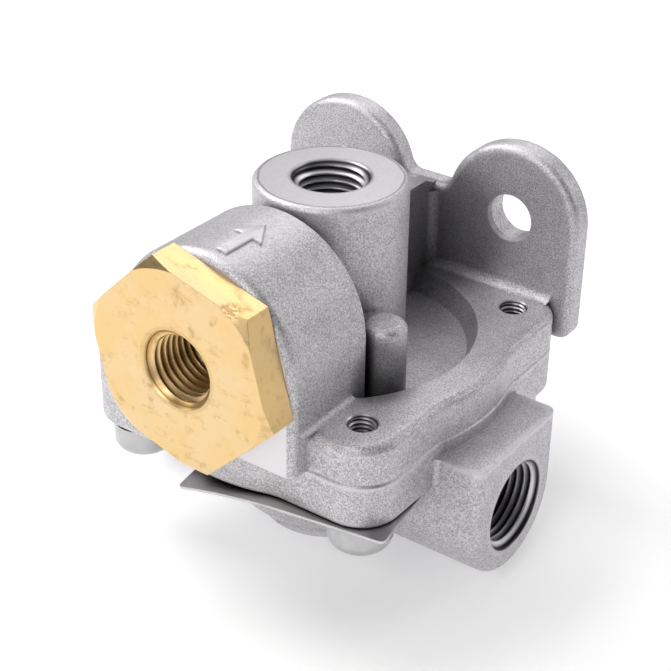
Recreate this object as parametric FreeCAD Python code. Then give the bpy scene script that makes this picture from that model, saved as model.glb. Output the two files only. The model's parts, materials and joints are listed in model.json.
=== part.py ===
import FreeCAD, Part
import math
import os

V = FreeCAD.Vector
X_AXIS = V(1, 0, 0)
Y_AXIS = V(0, 1, 0)
Z_AXIS = V(0, 0, 1)

# Driving dimensions, in millimetres.
# The origin is the centre of the exhaust opening, on the flat face that the valve rests on.
# +Z runs up the balance tower, -Y runs out through the supply cap nut, +X through one delivery port.

# Flanges and their four screws
screw_spacing = 49.2
lug_radius = 7.5
flange_rim_radius = 34.1
flange_blend_radius = 12.0
upper_flange_height = 7.7
lower_flange_height = 8.6
parting_z = 32.3
upper_flange_edge_radius = 1.8
lower_flange_edge_radius = 0.8
parting_chamfer = 0.35
thread_radius = 2.5
tapped_chamfer = 0.3
screw_hole_clearance = 0.3
overcut = 1.0

# Balance tower and pocket
tower_radius = 13.9
tower_height = 29.0
tower_edge_radius = 1.1
pocket_radius = 27.2
pocket_depth = 4.1
pocket_draft = 1.8
column_radius = 3.95
column_height = 10.1
column_angle = -26.5
column_reach = 20.3
column_edge_radius = 1.5
column_web_width = 5.4
column_web_drop = 1.6
web_width = 4.0
web_height = 18.4
web_slope_run = 2.6
web_cove_radius = 2.0

# Supply boss
supply_axis_height = 9.8
boss_radius = 18.8
boss_front_stand = 2.0
boss_back_y = -15.4
boss_front_edge_radius = 1.9
boss_back_edge_radius = 0.5
boss_foot_radius = 1.2
neck_step = 1.6
neck_sink = 5.9
neck_inset = 0.4

# Bracket
ear_spacing = 38.1
ear_radius = 14.2
ear_height = 14.5
ear_hole_radius = 4.65
bracket_back_stand = 2.1
bracket_thickness = 5.5
bridge_height = 17.1
bracket_edge_radius = 1.6
bracket_corner_radius = 2.5
bracket_foot_radius = 2.0

# Ports: mouth chamfer radius, wall radius and thread depth
quarter_port_mouth = 7.2
quarter_port_radius = 6.8
quarter_port_depth = 12.0
delivery_port_mouth = 8.75
delivery_port_radius = 8.5
delivery_port_depth = 13.0
drill_half_angle = 59.0

# Lower body
delivery_axis_z = 16.0
delivery_reach = 41.25
barrel_radius = 13.2
barrel_top_z = 29.7
barrel_edge_radius = 2.0
barrel_cove_radius = 1.0
delivery_passage_radius = 5.5
bowl_radius = 19.0
bowl_bottom_z = 4.0
bowl_edge_radius = 5.0
exhaust_boss_radius = 13.0
exhaust_radius = 6.0
exhaust_tube_wall = 2.0
chamber_radius = 16.3
chamber_floor_z = 8.0
cavity_radius = 22.5
cavity_depth = 6.3

# Diaphragm stack
diaphragm_radius = 19.5
diaphragm_thickness = 3.0
diaphragm_edge_radius = 0.6
diaphragm_travel = 0.9
cover_seat_inner_radius = 14.5
cover_seat_width = 2.0
cover_seat_depth = 1.6
cover_recess_radius = 20.5
cover_recess_depth = 0.9
outlet_radius = 2.2
outlet_y = -10.5
outlet_slant = 43.0
outlet_length = 13.0
outlet_run_out = 3.0
spigot_depth = 1.2
spigot_clearance = 0.3
spring_seat_clearance = 0.9
spring_seat_inner_radius = 9.2
spring_seat_thickness = 1.4
spring_seat_rim = 1.0
spring_wire = 1.4
spring_mean_radius = 11.2
spring_turns = 5.5

# Body seal
seal_wire_radius = 0.95
seal_mean_radius = 26.0
seal_groove_gap = 0.15

# Cap nut and double check
nut_across_flats = 34.3
nut_head_height = 6.3
nut_turn = -15.8
nut_corner_chamfer = 1.15
nut_shank_radius = 12.9
nut_shank_length = 7.6
nut_thread_clearance = 0.05
nut_bore_radius = 4.5
seat_lip_width = 1.5
seat_lip_height = 0.8
nut_seal_wire_radius = 0.8
nut_seal_groove_depth = 1.75
nut_seal_gap = 0.1
check_chamber_radius = 11.4
check_chamber_back_y = -15.2
guide_end_gap = 0.2
guide_fit = 0.05
guide_wall = 3.4
guide_waist = 1.7
guide_flange_length = 2.2
guide_windows = 6
guide_window_width = 4.0
guide_window_margin = 1.0
shuttle_fit = 0.08
shuttle_travel = 3.2
shuttle_waist = 1.3
shuttle_land = 2.6
face_seal_radius = 6.2
face_seal_thickness = 1.5
face_seal_proud = 0.3
face_seal_clearance = 0.05
balance_passage_radius = 4.0

# Screws, washers and the tag plate
screw_grip_in_cover = 3.7
screw_radius_clearance = 0.05
head_radius = 5.8
head_height = 6.0
head_dome = 2.4
driver_slot_width = 1.2
driver_slot_length = 5.0
driver_slot_depth = 1.8
washer_outer_radius = 5.0
washer_inner_radius = 2.7
washer_thickness = 1.5
washer_split = 0.8
washer_split_slant = 30.0
washer_split_turn = -100.0
tag_length = 40.0
tag_width = 16.0
tag_thickness = 0.5
tag_end_margin = 8.2
tag_turn = 8.5
tag_flat_length = 10.0
tag_droop = 2.2
tag_corner_radius = 1.0

# Places worked out from the driving dimensions; the boss and the bracket stand out past the flanges' rim
half_spacing = screw_spacing / 2
top_z = parting_z + upper_flange_height
lower_flange_z = parting_z - lower_flange_height
pocket_floor_z = top_z - pocket_depth
tower_top_z = top_z + tower_height
supply_z = top_z + supply_axis_height
boss_front_y = -flange_rim_radius - boss_front_stand
nut_front_y = boss_front_y - nut_head_height
nut_shank_end_y = boss_front_y + nut_shank_length
supply_seat_y = nut_shank_end_y + seat_lip_height
balance_seat_y = check_chamber_back_y - seat_lip_height
shuttle_length = balance_seat_y - supply_seat_y - shuttle_travel
guide_outer_radius = check_chamber_radius - guide_fit
guide_bore_radius = guide_outer_radius - guide_wall
shuttle_radius = guide_bore_radius - shuttle_fit
ear_z = top_z + ear_height
bracket_back_y = flange_rim_radius + bracket_back_stand
bracket_front_y = bracket_back_y - bracket_thickness
neck_back_y = neck_sink - tower_radius
neck_front_radius = boss_radius - neck_step
neck_back_radius = math.sqrt(tower_radius ** 2 - neck_back_y ** 2) - neck_inset
diaphragm_top_z = parting_z - cover_seat_depth
diaphragm_bottom_z = diaphragm_top_z - diaphragm_thickness
exhaust_seat_z = diaphragm_bottom_z - diaphragm_travel
spring_seat_radius = chamber_radius - spring_seat_clearance
screw_places = [(sx * half_spacing, sy * half_spacing) for sx in (-1, 1) for sy in (-1, 1)]
tag_screw = (half_spacing, -half_spacing)


def cylinder(radius, height, base, axis=Z_AXIS):
    return Part.makeCylinder(radius, height, base, axis)


def ring(outer_radius, inner_radius, height, base, axis=Z_AXIS):
    return cylinder(outer_radius, height, base, axis).cut(cylinder(inner_radius, height, base, axis))


def block(low, high):
    size = high - low
    return Part.makeBox(size.x, size.y, size.z, low)


def turned(profile, base, axis=Z_AXIS):
    """A turned solid from (radius, distance along the axis) points."""
    points = [V(r, 0, h) for r, h in profile]
    face = Part.Face(Part.makePolygon(points + points[:1]))
    solid = face.revolve(V(0, 0, 0), Z_AXIS, 360)
    solid.Placement = FreeCAD.Placement(base, FreeCAD.Rotation(Z_AXIS, axis))
    return solid


def chain(edges):
    return Part.Wire(Part.__sortEdges__(edges))


def arc(a, middle, b):
    return Part.Arc(a, middle, b).toShape()


def edges_where(solid, test):
    return [edge for edge in solid.Edges if test(edge)]


def cove(corner, along_a, along_b, radius, run):
    """The fillet of metal in an inside corner, between two faces that leave it along a and along b."""
    near = corner + along_a * radius
    far = corner + along_b * radius
    centre = corner + (along_a + along_b) * radius
    middle = centre - (along_a + along_b) * (radius * math.sqrt(0.5))
    outline = chain([arc(near, middle, far), Part.makeLine(far, corner), Part.makeLine(corner, near)])
    return Part.Face(outline).extrude(run)


def edge_at(axis, value, tolerance=1e-4):
    """True for an edge that lies wholly in the plane axis = value."""
    def test(edge):
        box = edge.BoundBox
        low, high = {"x": (box.XMin, box.XMax), "y": (box.YMin, box.YMax), "z": (box.ZMin, box.ZMax)}[axis]
        return abs(low - value) < tolerance and abs(high - value) < tolerance
    return test


def threaded_port(mouth_radius, wall_radius, depth, mouth, inward):
    """A port as it is cut out: a mouth chamfer, the threaded wall and the drill's cone."""
    chamfer = mouth_radius - wall_radius
    drill_end = depth + wall_radius / math.tan(math.radians(drill_half_angle))
    profile = [(0, 0), (mouth_radius, 0), (wall_radius, chamfer), (wall_radius, depth), (0, drill_end)]
    return turned(profile, mouth, inward)


def flange_outline(z):
    """The outline that both castings share: a square with round lugs, and a round rim past its sides."""
    h = half_spacing
    side = h + lug_radius
    corner = h + lug_radius * math.sqrt(0.5)
    edges = []
    for quarter in range(4):
        turn = FreeCAD.Rotation(Z_AXIS, 90 * quarter)

        def at(x, y):
            return turn.multVec(V(x, y, 0)) + V(0, 0, z)

        edges.extend(flange_side(at, side, h))
        edges.append(arc(at(side, h), at(corner, corner), at(h, side)))
    return chain(edges)


def flange_side(at, side, h):
    """One side of the outline from lug to lug: straight, with the round rim where it stands out of it."""
    rim = flange_rim_radius
    blend = flange_blend_radius
    if rim <= side:
        return [Part.makeLine(at(side, -h), at(side, h))]
    blend_y = math.sqrt((rim + blend) ** 2 - (side + blend) ** 2)
    centre = V(side + blend, -blend_y, 0)
    on_rim = centre * (rim / (rim + blend))
    halfway = X_AXIS + centre * (1 / (rim + blend))
    middle = centre - halfway * (blend / halfway.Length)
    return [
        Part.makeLine(at(side, -h), at(side, -blend_y)),
        arc(at(side, -blend_y), at(middle.x, middle.y), at(on_rim.x, on_rim.y)),
        arc(at(on_rim.x, on_rim.y), at(rim, 0), at(on_rim.x, -on_rim.y)),
        arc(at(on_rim.x, -on_rim.y), at(middle.x, -middle.y), at(side, blend_y)),
        Part.makeLine(at(side, blend_y), at(side, h)),
    ]


def upper_flange():
    plate = Part.Face(flange_outline(parting_z)).extrude(V(0, 0, upper_flange_height))
    plate = plate.makeFillet(upper_flange_edge_radius, edges_where(plate, edge_at("z", top_z)))
    return plate.makeChamfer(parting_chamfer, edges_where(plate, edge_at("z", parting_z)))


def pocket():
    rim = pocket_radius
    floor = pocket_radius - pocket_draft
    high = pocket_depth + boss_foot_radius + overcut
    profile = [(0, 0), (floor, 0), (rim, pocket_depth), (rim, high), (0, high)]
    return turned(profile, V(0, 0, pocket_floor_z))


def tower():
    solid = cylinder(tower_radius, tower_top_z - parting_z, V(0, 0, parting_z))
    return solid.makeFillet(tower_edge_radius, edges_where(solid, edge_at("z", tower_top_z)))


def column():
    """The round column in the pocket, with the short web that ties it to the tower."""
    column_top_z = top_z + column_height
    solid = cylinder(column_radius, column_top_z - parting_z, V(column_reach, 0, parting_z))
    solid = solid.makeFillet(column_edge_radius, edges_where(solid, edge_at("z", column_top_z)))
    half = column_web_width / 2
    tie = block(V(0, -half, parting_z), V(column_reach, half, column_top_z - column_web_drop))
    solid = solid.fuse(tie)
    solid.rotate(V(0, 0, 0), Z_AXIS, column_angle)
    return solid


def web():
    """The rib that ties the tower to the bracket; its top drops to the bridge at the bracket."""
    high = top_z + web_height
    bridge_z = top_z + bridge_height
    slope_start_y = bracket_front_y - web_slope_run
    end_y = bracket_front_y + bracket_thickness / 2
    profile = [V(0, 0, parting_z), V(0, 0, high), V(0, slope_start_y, high), V(0, bracket_front_y, bridge_z),
               V(0, end_y, bridge_z), V(0, end_y, parting_z)]
    face = Part.Face(Part.makePolygon(profile + profile[:1]))
    face.translate(V(-web_width / 2, 0, 0))
    rib = face.extrude(V(web_width, 0, 0))
    rise = V(0, 0, bridge_z - bracket_edge_radius - parting_z)
    coves = []
    for sign in (-1, 1):
        corner = V(sign * web_width / 2, bracket_front_y, parting_z)
        coves.append(cove(corner, V(sign, 0, 0), -Y_AXIS, web_cove_radius, rise))
    return rib.fuse(coves)


def supply_boss():
    """The horizontal boss: a half round top on straight sides that run down to the parting plane."""
    r = boss_radius
    left_low = V(-r, boss_front_y, parting_z)
    left_high = V(-r, boss_front_y, supply_z)
    right_high = V(r, boss_front_y, supply_z)
    right_low = V(r, boss_front_y, parting_z)
    outline = chain([
        Part.makeLine(left_low, left_high),
        arc(left_high, V(0, boss_front_y, supply_z + r), right_high),
        Part.makeLine(right_high, right_low),
        Part.makeLine(right_low, left_low),
    ])
    solid = Part.Face(outline).extrude(V(0, boss_back_y - boss_front_y, 0))

    def above_foot(edge):
        return edge.BoundBox.ZMax > parting_z + 0.01

    front = edges_where(solid, lambda e: edge_at("y", boss_front_y)(e) and above_foot(e))
    solid = solid.makeFillet(boss_front_edge_radius, front)
    back = edges_where(solid, lambda e: edge_at("y", boss_back_y)(e) and above_foot(e))
    return solid.makeFillet(boss_back_edge_radius, back)


def boss_feet():
    """The coves where the boss's straight sides rise from the flange."""
    coves = []
    for sign in (-1, 1):
        corner = V(sign * boss_radius, boss_front_y + boss_front_edge_radius, top_z)
        run = V(0, boss_back_y - boss_back_edge_radius - corner.y, 0)
        coves.append(cove(corner, V(sign, 0, 0), Z_AXIS, boss_foot_radius, run))
    return coves


def neck():
    """The cone that joins the back of the boss to the tower, around the double check chamber."""
    length = neck_back_y - boss_back_y
    profile = [(0, 0), (neck_front_radius, 0), (neck_back_radius, length), (0, length)]
    return turned(profile, V(0, boss_back_y, supply_z), Y_AXIS)


def bracket():
    """The plate with two round ears and a lower bridge between them."""
    half = ear_spacing / 2
    r = ear_radius
    bridge_z = top_z + bridge_height
    meet = half - math.sqrt(r * r - (bridge_z - ear_z) ** 2)
    side = r * math.sqrt(0.5)
    y = bracket_front_y

    def at(x, z):
        return V(x, y, z)

    outline = chain([
        Part.makeLine(at(-half - r, parting_z), at(-half - r, ear_z)),
        arc(at(-half - r, ear_z), at(-half - side, ear_z + side), at(-half, ear_z + r)),
        arc(at(-half, ear_z + r), at(-half + side, ear_z + side), at(-meet, bridge_z)),
        Part.makeLine(at(-meet, bridge_z), at(meet, bridge_z)),
        arc(at(meet, bridge_z), at(half - side, ear_z + side), at(half, ear_z + r)),
        arc(at(half, ear_z + r), at(half + side, ear_z + side), at(half + r, ear_z)),
        Part.makeLine(at(half + r, ear_z), at(half + r, parting_z)),
        Part.makeLine(at(half + r, parting_z), at(-half - r, parting_z)),
    ])
    solid = Part.Face(outline).extrude(V(0, bracket_thickness, 0))

    def crosswise(edge):
        box = edge.BoundBox
        return box.YLength > bracket_thickness - 0.01 and box.XLength < 0.01 and box.ZLength < 0.01

    def at_bridge(edge):
        return crosswise(edge) and abs(edge.BoundBox.ZMin - bridge_z) < 0.01

    def at_foot(edge):
        return crosswise(edge) and abs(edge.BoundBox.ZMin - parting_z) < 0.01

    corners = edges_where(solid, at_bridge) + edges_where(solid, at_foot)
    solid = solid.makeFillet(bracket_corner_radius, corners)
    rim = edges_where(solid, lambda e: edge_at("y", bracket_front_y)(e) or edge_at("y", bracket_back_y)(e))
    solid = solid.makeFillet(bracket_edge_radius, rim)
    for sign in (-1, 1):
        start = V(sign * half, y - overcut, ear_z)
        hole = cylinder(ear_hole_radius, bracket_thickness + 2 * overcut, start, Y_AXIS)
        solid = solid.cut(hole)
    return solid


def bracket_foot():
    """The cove where the plate rises from the flange."""
    half = ear_spacing / 2 + ear_radius - bracket_edge_radius - bracket_corner_radius
    return cove(V(-half, bracket_front_y, top_z), -Y_AXIS, Z_AXIS, bracket_foot_radius, V(2 * half, 0, 0))


def supply_passages():
    """Everything that is bored from the front of the supply boss, from the mouth to the balance port."""
    centre = V(0, boss_front_y, supply_z)
    thread = cylinder(nut_shank_radius + nut_thread_clearance, nut_shank_length, centre, Y_AXIS)
    groove_outer = nut_shank_radius + nut_thread_clearance + 2 * (nut_seal_wire_radius + nut_seal_gap)
    groove = cylinder(groove_outer, nut_seal_groove_depth, centre, Y_AXIS)
    chamber_front = V(0, nut_shank_end_y, supply_z)
    chamber = cylinder(check_chamber_radius, check_chamber_back_y - nut_shank_end_y, chamber_front, Y_AXIS)
    lip_outer = balance_passage_radius + seat_lip_width
    lip = cylinder(lip_outer, seat_lip_height, V(0, balance_seat_y, supply_z), Y_AXIS)
    passage = cylinder(balance_passage_radius, -balance_seat_y, V(0, balance_seat_y, supply_z), Y_AXIS)
    return thread.fuse([groove, chamber]).cut(lip).fuse(passage)


def balance_passage():
    mouth = V(0, 0, tower_top_z)
    port = threaded_port(quarter_port_mouth, quarter_port_radius, quarter_port_depth, mouth, -Z_AXIS)
    bottom = supply_z - balance_passage_radius
    drop = cylinder(balance_passage_radius, tower_top_z - quarter_port_depth - bottom, V(0, 0, bottom))
    return port.fuse(drop)


def slanted_outlet():
    """The hole drilled from the diaphragm side up into the double check chamber."""
    slant = math.radians(outlet_slant)
    along = V(0, -math.sin(slant), math.cos(slant))
    start = V(0, outlet_y, parting_z) - along * outlet_run_out
    return cylinder(outlet_radius, outlet_length + outlet_run_out, start, along)


def upper_body():
    casting = upper_flange().fuse(boss_feet()).cut(pocket())
    casting = casting.fuse([tower(), column(), web(), supply_boss(), neck(), bracket(), bracket_foot()])
    casting = casting.removeSplitter()
    seat = ring(cover_seat_inner_radius + cover_seat_width, cover_seat_inner_radius,
                cover_seat_depth + cover_recess_depth, V(0, 0, diaphragm_top_z))
    spigot_outer = cavity_radius - spigot_clearance
    spigot = ring(spigot_outer, cover_recess_radius, spigot_depth, V(0, 0, parting_z - spigot_depth))
    recess = cylinder(cover_recess_radius, cover_recess_depth, V(0, 0, parting_z))
    casting = casting.cut([recess, supply_passages(), balance_passage(), slanted_outlet()])
    casting = casting.fuse([seat, spigot])
    for x, y in screw_places:
        casting = casting.cut(tapped_hole(x, y))
    return casting


def tapped_hole(x, y):
    wall = cylinder(thread_radius, upper_flange_height, V(x, y, parting_z))
    mouth_radius = thread_radius + tapped_chamfer
    profile = [(0, 0), (thread_radius, 0), (mouth_radius, tapped_chamfer), (0, tapped_chamfer)]
    return wall.fuse(turned(profile, V(x, y, top_z - tapped_chamfer)))


def delivery_barrel():
    """The through barrel: flat top, straight sides and a round bottom, with both ends machined flat."""
    r = barrel_radius
    x = -delivery_reach
    left_top = V(x, -r, barrel_top_z)
    right_top = V(x, r, barrel_top_z)
    left = V(x, -r, delivery_axis_z)
    right = V(x, r, delivery_axis_z)
    outline = chain([
        Part.makeLine(left_top, left),
        arc(left, V(x, 0, delivery_axis_z - r), right),
        Part.makeLine(right, right_top),
        Part.makeLine(right_top, left_top),
    ])
    solid = Part.Face(outline).extrude(V(2 * delivery_reach, 0, 0))

    def end_edge(edge):
        at_end = edge_at("x", -delivery_reach)(edge) or edge_at("x", delivery_reach)(edge)
        return at_end and edge.BoundBox.ZMin < barrel_top_z - 0.01

    return solid.makeFillet(barrel_edge_radius, edges_where(solid, end_edge))


def lower_flange():
    plate = Part.Face(flange_outline(lower_flange_z)).extrude(V(0, 0, lower_flange_height))
    plate = plate.makeFillet(lower_flange_edge_radius, edges_where(plate, edge_at("z", lower_flange_z)))
    return plate.makeChamfer(parting_chamfer, edges_where(plate, edge_at("z", parting_z)))


def barrel_coves():
    """The upright coves where the barrel's sides leave the flange."""
    low = lower_flange_z + lower_flange_edge_radius
    coves = []
    for sx in (-1, 1):
        for sy in (-1, 1):
            corner = V(sx * (half_spacing + lug_radius), sy * barrel_radius, low)
            run = V(0, 0, barrel_top_z - low)
            coves.append(cove(corner, V(sx, 0, 0), V(0, sy, 0), barrel_cove_radius, run))
    return coves


def bowl():
    solid = cylinder(bowl_radius, parting_z - bowl_bottom_z, V(0, 0, bowl_bottom_z))
    solid = solid.makeFillet(bowl_edge_radius, edges_where(solid, edge_at("z", bowl_bottom_z)))
    return solid.fuse(cylinder(exhaust_boss_radius, parting_z, V(0, 0, 0)))


def delivery_passage(sign):
    mouth = V(sign * delivery_reach, 0, delivery_axis_z)
    inward = V(-sign, 0, 0)
    port = threaded_port(delivery_port_mouth, delivery_port_radius, delivery_port_depth, mouth, inward)
    length = delivery_reach - exhaust_radius - exhaust_tube_wall
    drill = cylinder(delivery_passage_radius, length, mouth, inward)
    return port.fuse(drill)


def lower_body():
    casting = lower_flange().fuse([bowl(), delivery_barrel()] + barrel_coves())
    cavity = cylinder(cavity_radius, cavity_depth, V(0, 0, parting_z - cavity_depth))
    chamber = cylinder(chamber_radius, parting_z - chamber_floor_z, V(0, 0, chamber_floor_z))
    groove_half = seal_wire_radius + seal_groove_gap
    groove = ring(seal_mean_radius + groove_half, seal_mean_radius - groove_half, 2 * groove_half,
                  V(0, 0, parting_z - 2 * groove_half))
    casting = casting.cut([cavity, chamber, groove, delivery_passage(-1), delivery_passage(1)])
    tube_outer = exhaust_radius + exhaust_tube_wall
    casting = casting.fuse(cylinder(tube_outer, exhaust_seat_z, V(0, 0, 0)))
    casting = casting.cut(cylinder(exhaust_radius, exhaust_seat_z, V(0, 0, 0)))
    for x, y in screw_places:
        hole = cylinder(thread_radius + screw_hole_clearance, lower_flange_height, V(x, y, lower_flange_z))
        casting = casting.cut(hole)
    return casting.removeSplitter()


def supply_cap_nut():
    """A hexagonal head with a turned front, and a shank that carries the supply seat at its end."""
    corner = nut_across_flats / math.sqrt(3)
    points = []
    for k in range(7):
        angle = math.radians(nut_turn + 60 * k)
        points.append(V(corner * math.cos(angle), nut_front_y, supply_z + corner * math.sin(angle)))
    head = Part.Face(Part.makePolygon(points)).extrude(V(0, nut_head_height, 0))
    cone_low = corner - nut_corner_chamfer * math.sqrt(3)
    turned_front = turned([(0, 0), (cone_low, 0), (corner, nut_corner_chamfer), (corner, nut_head_height),
                           (0, nut_head_height)], V(0, nut_front_y, supply_z), Y_AXIS)
    head = head.common(turned_front)
    shank = cylinder(nut_shank_radius, nut_shank_length, V(0, boss_front_y, supply_z), Y_AXIS)
    lip_outer = nut_bore_radius + seat_lip_width
    lip = cylinder(lip_outer, seat_lip_height, V(0, nut_shank_end_y, supply_z), Y_AXIS)
    port = threaded_port(quarter_port_mouth, quarter_port_radius, quarter_port_depth,
                         V(0, nut_front_y, supply_z), Y_AXIS)
    bore = cylinder(nut_bore_radius, supply_seat_y - nut_front_y, V(0, nut_front_y, supply_z), Y_AXIS)
    return head.fuse([shank, lip]).cut([port, bore]).removeSplitter()


def cap_nut_o_ring():
    mean = nut_shank_radius + nut_thread_clearance + nut_seal_wire_radius + nut_seal_gap
    centre = V(0, boss_front_y + nut_seal_groove_depth / 2, supply_z)
    return Part.makeTorus(mean, nut_seal_wire_radius, centre, Y_AXIS)


def shuttle_guide():
    """A turned cage: a flange at each end, a waist with a ring of windows between them."""
    start = nut_shank_end_y + guide_end_gap
    length = check_chamber_back_y - guide_end_gap - start
    outer = guide_outer_radius
    waist = guide_outer_radius - guide_waist
    flange = guide_flange_length
    far = length - flange
    profile = [(guide_bore_radius, 0), (outer, 0), (outer, flange), (waist, flange), (waist, far),
               (outer, far), (outer, length), (guide_bore_radius, length)]
    cage = turned(profile, V(0, start, supply_z), Y_AXIS)
    window_start = start + flange + guide_window_margin
    window_end = start + length - flange - guide_window_margin
    half = guide_window_width / 2
    for k in range(guide_windows):
        window = block(V(-half, window_start, 0), V(half, window_end, outer + overcut))
        window.rotate(V(0, 0, 0), Y_AXIS, 360 / guide_windows * k)
        window.translate(V(0, 0, supply_z))
        cage = cage.cut(window)
    return cage


def shuttle():
    """A moulded spool with a recess for a rubber face at each end."""
    core = shuttle_length - 2 * face_seal_proud
    start = supply_seat_y + face_seal_proud
    recess = face_seal_thickness - face_seal_proud
    inner = face_seal_radius + face_seal_clearance
    waist = shuttle_radius - shuttle_waist
    land = shuttle_land
    outer = shuttle_radius
    profile = [(0, recess), (inner, recess), (inner, 0), (outer, 0), (outer, land), (waist, land),
               (waist, core - land), (outer, core - land), (outer, core), (inner, core),
               (inner, core - recess), (0, core - recess)]
    return turned(profile, V(0, start, supply_z), Y_AXIS)


def shuttle_seal(start):
    return cylinder(face_seal_radius, face_seal_thickness, V(0, start, supply_z), Y_AXIS)


def diaphragm():
    """A rubber disc, thicker where it closes the exhaust seat."""
    disc = cylinder(diaphragm_radius, diaphragm_thickness, V(0, 0, diaphragm_bottom_z))
    low_rim = edges_where(disc, edge_at("z", diaphragm_bottom_z))
    high_rim = edges_where(disc, edge_at("z", diaphragm_top_z))
    return disc.makeFillet(diaphragm_edge_radius, low_rim + high_rim)


def spring_seat():
    """A flat ring with a short turned-down rim that keeps the spring central."""
    top = diaphragm_bottom_z
    low = top - spring_seat_thickness
    profile = [(spring_seat_inner_radius, low - top), (spring_seat_radius - spring_seat_rim, low - top),
               (spring_seat_radius - spring_seat_rim, low - top - spring_seat_rim),
               (spring_seat_radius, low - top - spring_seat_rim), (spring_seat_radius, 0),
               (spring_seat_inner_radius, 0)]
    return turned(profile, V(0, 0, top))


def diaphragm_spring():
    """A coil spring with ends ground flat: a helix wider than its slot, trimmed by two planes."""
    low = chamber_floor_z
    high = diaphragm_bottom_z - spring_seat_thickness
    first = low + spring_wire / 4
    rise = high - low - spring_wire / 2
    helix = Part.makeHelix(rise / spring_turns, rise, spring_mean_radius)
    helix.translate(V(0, 0, first))
    centre = V(spring_mean_radius, 0, first)
    section = Part.makeCircle(spring_wire / 2, centre, Y_AXIS)
    section.rotate(centre, Y_AXIS, 45)
    coil = Part.Wire(helix.Edges).makePipeShell([Part.Wire(section)], True, True)
    reach = spring_mean_radius + spring_wire
    slot = block(V(-reach, -reach, low), V(reach, reach, high))
    return coil.common(slot)


def body_o_ring():
    centre = V(0, 0, parting_z - seal_wire_radius - seal_groove_gap)
    return Part.makeTorus(seal_mean_radius, seal_wire_radius, centre, Z_AXIS)


def washer_top_z(x, y):
    under_tag = (x, y) == tag_screw
    return lower_flange_z - (tag_thickness if under_tag else 0)


def pan_head(x, y, top):
    """A pan head that hangs below its washer, with a cross recess in its face."""
    base = top - head_height
    cylinder_part = cylinder(head_radius, head_height, V(x, y, base))
    rounded = cylinder_part.makeFillet(head_dome, edges_where(cylinder_part, edge_at("z", base)))
    slot_a = block(V(x - driver_slot_length / 2, y - driver_slot_width / 2, base),
                   V(x + driver_slot_length / 2, y + driver_slot_width / 2, base + driver_slot_depth))
    slot_b = block(V(x - driver_slot_width / 2, y - driver_slot_length / 2, base),
                   V(x + driver_slot_width / 2, y + driver_slot_length / 2, base + driver_slot_depth))
    return rounded.cut([slot_a, slot_b])


def cover_screws():
    screws = []
    for x, y in screw_places:
        head_top = washer_top_z(x, y) - washer_thickness
        shank_length = top_z - screw_grip_in_cover - head_top
        shank = cylinder(thread_radius - screw_radius_clearance, shank_length, V(x, y, head_top))
        screws.append(pan_head(x, y, head_top).fuse(shank))
    return Part.makeCompound(screws)


def lock_washers():
    washers = []
    for x, y in screw_places:
        low = washer_top_z(x, y) - washer_thickness
        washer = ring(washer_outer_radius, washer_inner_radius, washer_thickness, V(x, y, low))
        half = washer_split / 2
        reach = washer_outer_radius + overcut
        split = block(V(0, -half, low - overcut), V(reach, half, low + 2 * washer_thickness))
        split.rotate(V(0, 0, low), X_AXIS, washer_split_slant)
        split.rotate(V(0, 0, 0), Z_AXIS, washer_split_turn)
        split.translate(V(x, y, 0))
        washers.append(washer.cut(split))
    return Part.makeCompound(washers)


def tag_plate():
    """A thin strip clamped near one end; its free end droops away from the flange in one gentle arc."""
    free = tag_length - tag_end_margin - tag_flat_length
    bend_radius = (free * free + tag_droop * tag_droop) / (2 * tag_droop)
    bend = math.asin(free / bend_radius)
    top = lower_flange_z
    low = top - tag_thickness
    right = tag_end_margin
    start = -tag_flat_length
    centre = V(start, 0, top - bend_radius)

    def on_arc(radius, angle):
        return centre + V(-radius * math.sin(angle), 0, radius * math.cos(angle))

    inner_radius = bend_radius - tag_thickness
    outline = chain([
        Part.makeLine(V(right, 0, low), V(right, 0, top)),
        Part.makeLine(V(right, 0, top), V(start, 0, top)),
        arc(V(start, 0, top), on_arc(bend_radius, bend / 2), on_arc(bend_radius, bend)),
        Part.makeLine(on_arc(bend_radius, bend), on_arc(inner_radius, bend)),
        arc(on_arc(inner_radius, bend), on_arc(inner_radius, bend / 2), V(start, 0, low)),
        Part.makeLine(V(start, 0, low), V(right, 0, low)),
    ])
    strip = Part.Face(outline).extrude(V(0, tag_width, 0))
    strip.translate(V(0, -tag_width / 2, 0))

    def end_corner(edge):
        box = edge.BoundBox
        at_right = abs(box.XMax - right) < 0.01
        at_left = box.XMax < -tag_length + tag_end_margin + 1
        return (at_right or at_left) and box.YLength < 0.01 and box.ZLength > tag_thickness * 0.9

    strip = strip.makeFillet(tag_corner_radius, edges_where(strip, end_corner))
    hole_radius = thread_radius + screw_hole_clearance
    strip = strip.cut(cylinder(hole_radius, tag_thickness + 2 * overcut, V(0, 0, low - overcut)))
    strip.rotate(V(0, 0, 0), Z_AXIS, tag_turn)
    strip.translate(V(tag_screw[0], tag_screw[1], 0))
    return strip


def build():
    far_seal_start = supply_seat_y + shuttle_length - face_seal_thickness
    nodes = {
        "upper_body": upper_body(),
        "lower_body": lower_body(),
        "supply_cap_nut": supply_cap_nut(),
        "cap_nut_o_ring": cap_nut_o_ring(),
        "shuttle_guide": shuttle_guide(),
        "shuttle": shuttle(),
        "shuttle_seal_supply": shuttle_seal(supply_seat_y),
        "shuttle_seal_balance": shuttle_seal(far_seal_start),
        "body_o_ring": body_o_ring(),
        "diaphragm": diaphragm(),
        "spring_seat": spring_seat(),
        "diaphragm_spring": diaphragm_spring(),
        "cover_screws": cover_screws(),
        "lock_washers": lock_washers(),
        "tag_plate": tag_plate(),
    }
    os.makedirs("parts", exist_ok=True)
    for name, shape in nodes.items():
        shape.exportStep(os.path.join("parts", name + ".step"))
        print(name, "solids", len(shape.Solids), "valid", shape.isValid(), "volume", round(shape.Volume, 1))


build()
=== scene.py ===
import json
import math

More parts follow.
